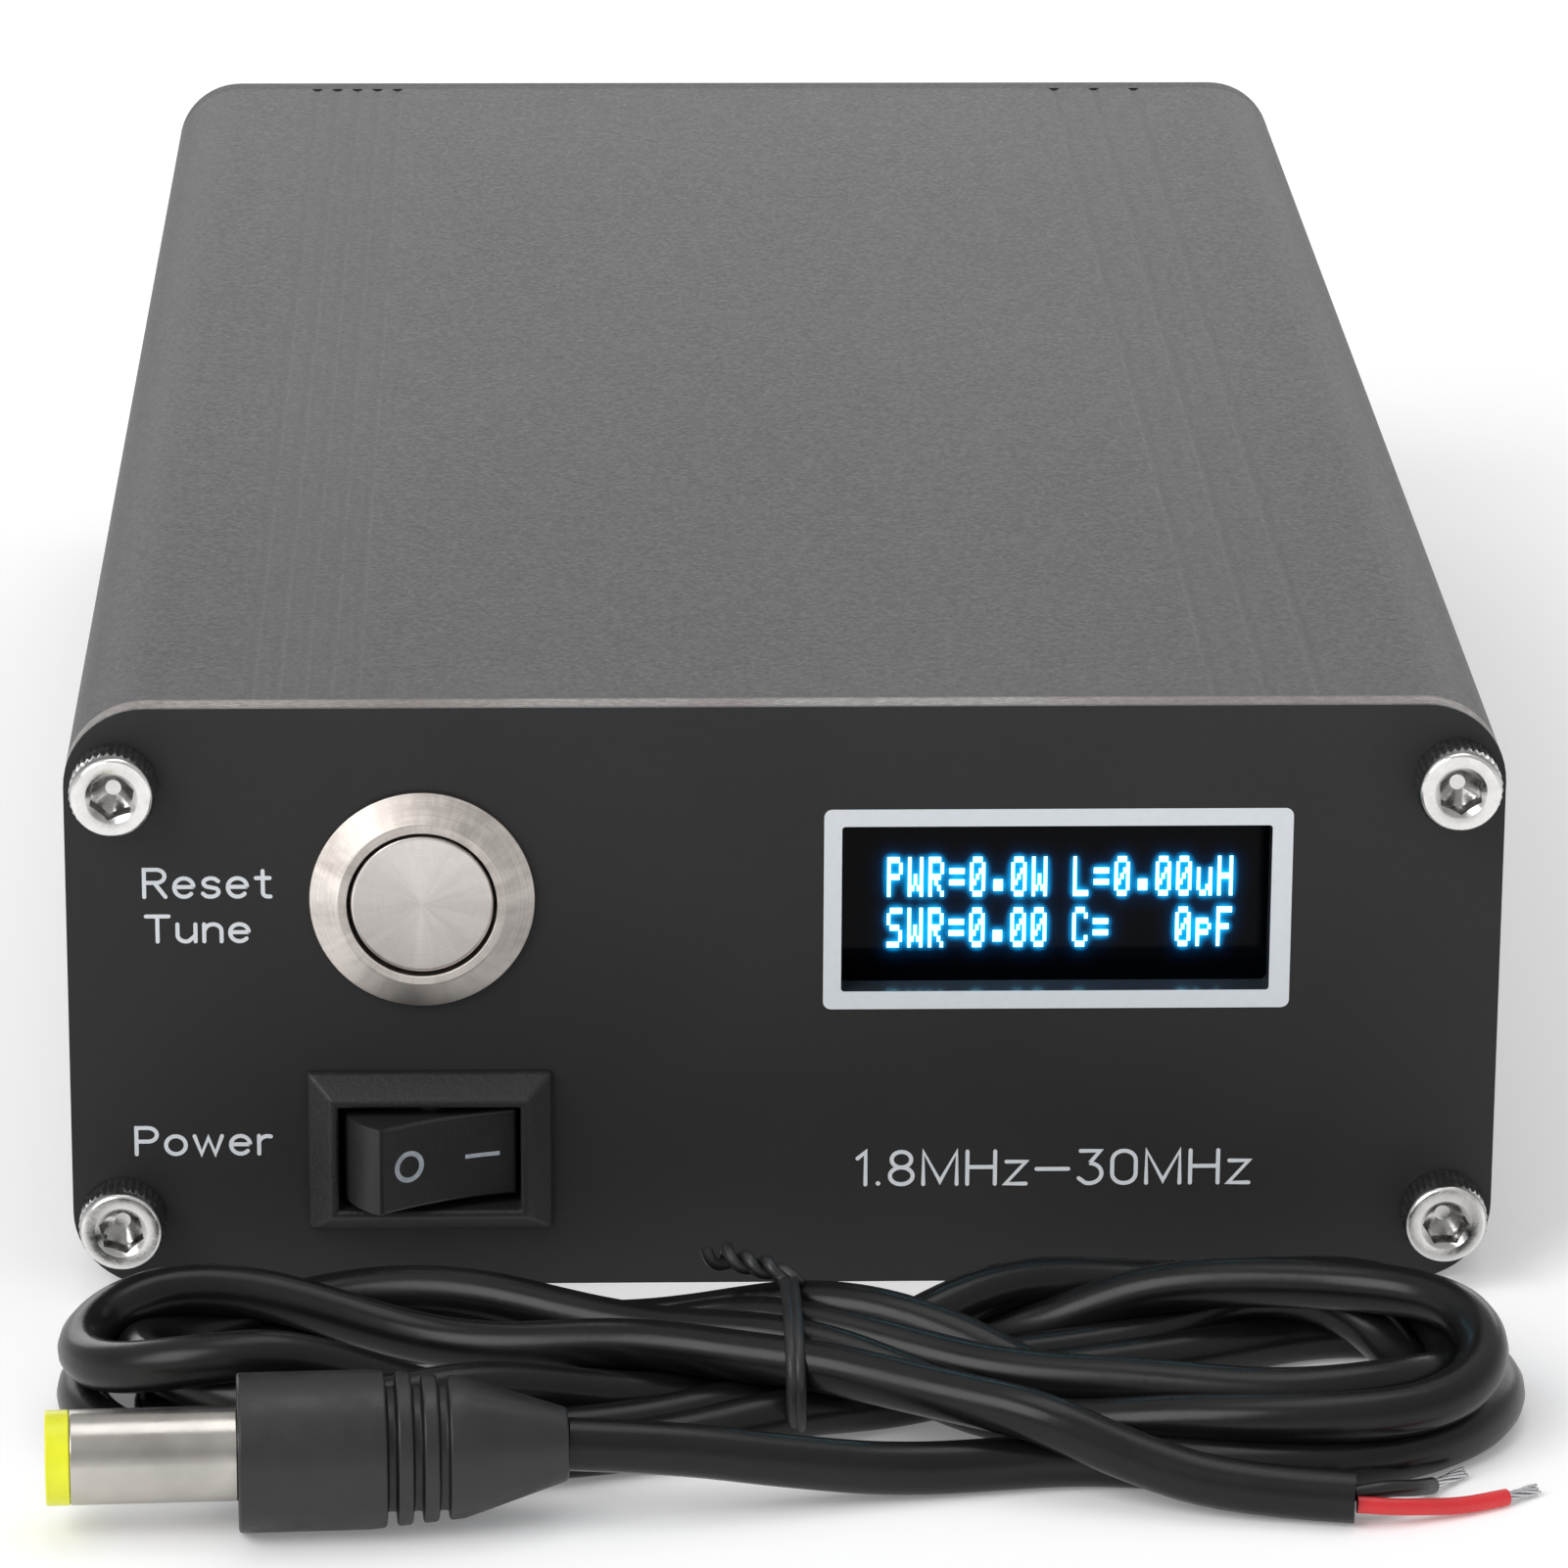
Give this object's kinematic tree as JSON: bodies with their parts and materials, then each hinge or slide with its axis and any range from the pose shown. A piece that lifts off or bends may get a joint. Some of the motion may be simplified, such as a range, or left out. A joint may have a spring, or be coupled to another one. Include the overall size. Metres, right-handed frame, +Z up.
{
  "type": "antenna tuner",
  "caption": "Automatic antenna tuner in a split extruded case: display window, push button, rocker switch, coaxial sockets and DC jack behind, with a plug-to-bare-ends DC lead.",
  "frame": {"origin": "centre of the case's base face, midway between the outer faces of the two end panels", "axes": "+Z up, -Y out of the front panel, +X to the right when looking at the front panel"},
  "size_m": [0.0884, 0.22, 0.0376],
  "materials": {
    "case_anodised": "fine blasted black anodised",
    "panel_black": "black solder-mask board material, satin",
    "screw_steel": "bright stainless, knurled",
    "button_steel": "turned and spun-brushed stainless",
    "rocker_black": "black moulded nylon, fine spark texture on the bezel",
    "display_glass": "dark display glass",
    "board_blue": "blue solder mask",
    "board_black": "dark green solder mask",
    "nylon_white": "white nylon",
    "rubber_black": "matt",
    "brass_bare": "satin",
    "nickel": "nickel plate",
    "spring_steel": "drawn wire",
    "ptfe_white": "waxy white insulator",
    "moulded_black": "moulded housing",
    "relay_black": "moulded relay case",
    "capacitor_brown": "dipped mica coating",
    "toroid_red": "painted iron powder",
    "copper_enamel": "enamelled copper wire",
    "ferrite": "sintered ferrite",
    "chip_black": "moulded epoxy",
    "crystal_can": "drawn steel can",
    "electrolytic_sleeve": "shrink sleeve",
    "wire_insulation": "PVC insulation",
    "ribbon_insulation": "PVC insulation",
    "coax_white": "PTFE covered lead",
    "plug_yellow": "moulded yellow tip",
    "plug_black": "moulded PVC",
    "cord_black": "PVC jacket, semi-gloss",
    "core_red": "PVC insulation",
    "core_black": "PVC insulation",
    "tinned_copper": "tinned strands"
  },
  "bodies": {
    "tuner": {"air_coils": "copper_enamel", "antenna_socket_shell": "nickel", "board_connectors": "nylon_white", "button_contact_block": "moulded_black", "button_housing": "button_steel", "button_nut": "nickel", "button_seal": "rubber_black", "button_spring": "spring_steel", "button_terminals": "brass_bare", "case_lower_shell": "case_anodised", "case_upper_shell": "case_anodised", "controller_socket": "chip_black", "coupler_cores": "ferrite", "coupler_lines": "coax_white", "crystal": "crystal_can", "dc_jack_body": "moulded_black", "dc_jack_contacts": "nickel", "dc_jack_nut": "nickel", "display_board": "board_blue", "display_glass": "display_glass", "display_header": "moulded_black", "display_screws": "nylon_white", "display_standoffs": "nylon_white", "display_wires": "ribbon_insulation", "electrolytic_capacitors": "electrolytic_sleeve", "front_panel": "panel_black", "front_panel_screws": "screw_steel", "hook_up_wires": "wire_insulation", "lead_cord_at_plug": "cord_black", "lead_cord_tail": "cord_black", "lead_core_ends": "tinned_copper", "lead_hank": "cord_black", "lead_negative_core": "core_black", "lead_plug_barrel": "nickel", "lead_plug_body": "plug_black", "lead_plug_tip": "plug_yellow", "lead_positive_core": "core_red", "lead_tie": "plug_black", "main_board": "board_black", "microcontroller": "chip_black", "radio_frequency_leads": "coax_white", "radio_socket_shell": "nickel", "rear_panel": "panel_black", "rear_panel_screws": "screw_steel", "relays": "relay_black", "rocker_housing": "rocker_black", "rocker_terminals": "brass_bare", "socket_contacts": "brass_bare", "socket_insulators": "ptfe_white", "socket_nuts": "nickel", "socket_screws": "nickel", "toroid_cores": "toroid_red", "toroid_windings": "copper_enamel", "tuning_capacitors": "capacitor_brown", "voltage_regulator": "chip_black"},
    "button": {"button_cap": "button_steel", "button_contact_bridge": "brass_bare"},
    "rocker": {"rocker_paddle": "rocker_black", "rocker_plunger": "nylon_white"},
    "contact_blade": {"rocker_contact_blade": "brass_bare"}
  },
  "joints": [
    {"name": "button_press", "type": "slide", "parent": "tuner", "child": "button", "axis": [0, 1, 0], "range_m": [0, 0.0016], "stiffness_N_per_m": 1500, "springref_m": -0.0012, "deforming": ["button_spring"]},
    {"name": "rocker_throw", "type": "hinge", "parent": "tuner", "child": "rocker", "pos_m": [-0.0219, -0.08185, 0.00905], "axis": [0, 0, -1], "range_deg": [0, 48]},
    {"name": "blade_tilt", "type": "hinge", "parent": "tuner", "child": "contact_blade", "pos_m": [-0.0219, -0.0746, 0.00905], "axis": [0, 0, -1], "range_deg": [-24, 0]}
  ],
  "couplings": [
    {"joint": "blade_tilt", "follows": "rocker_throw", "ratio": -0.5}
  ]
}
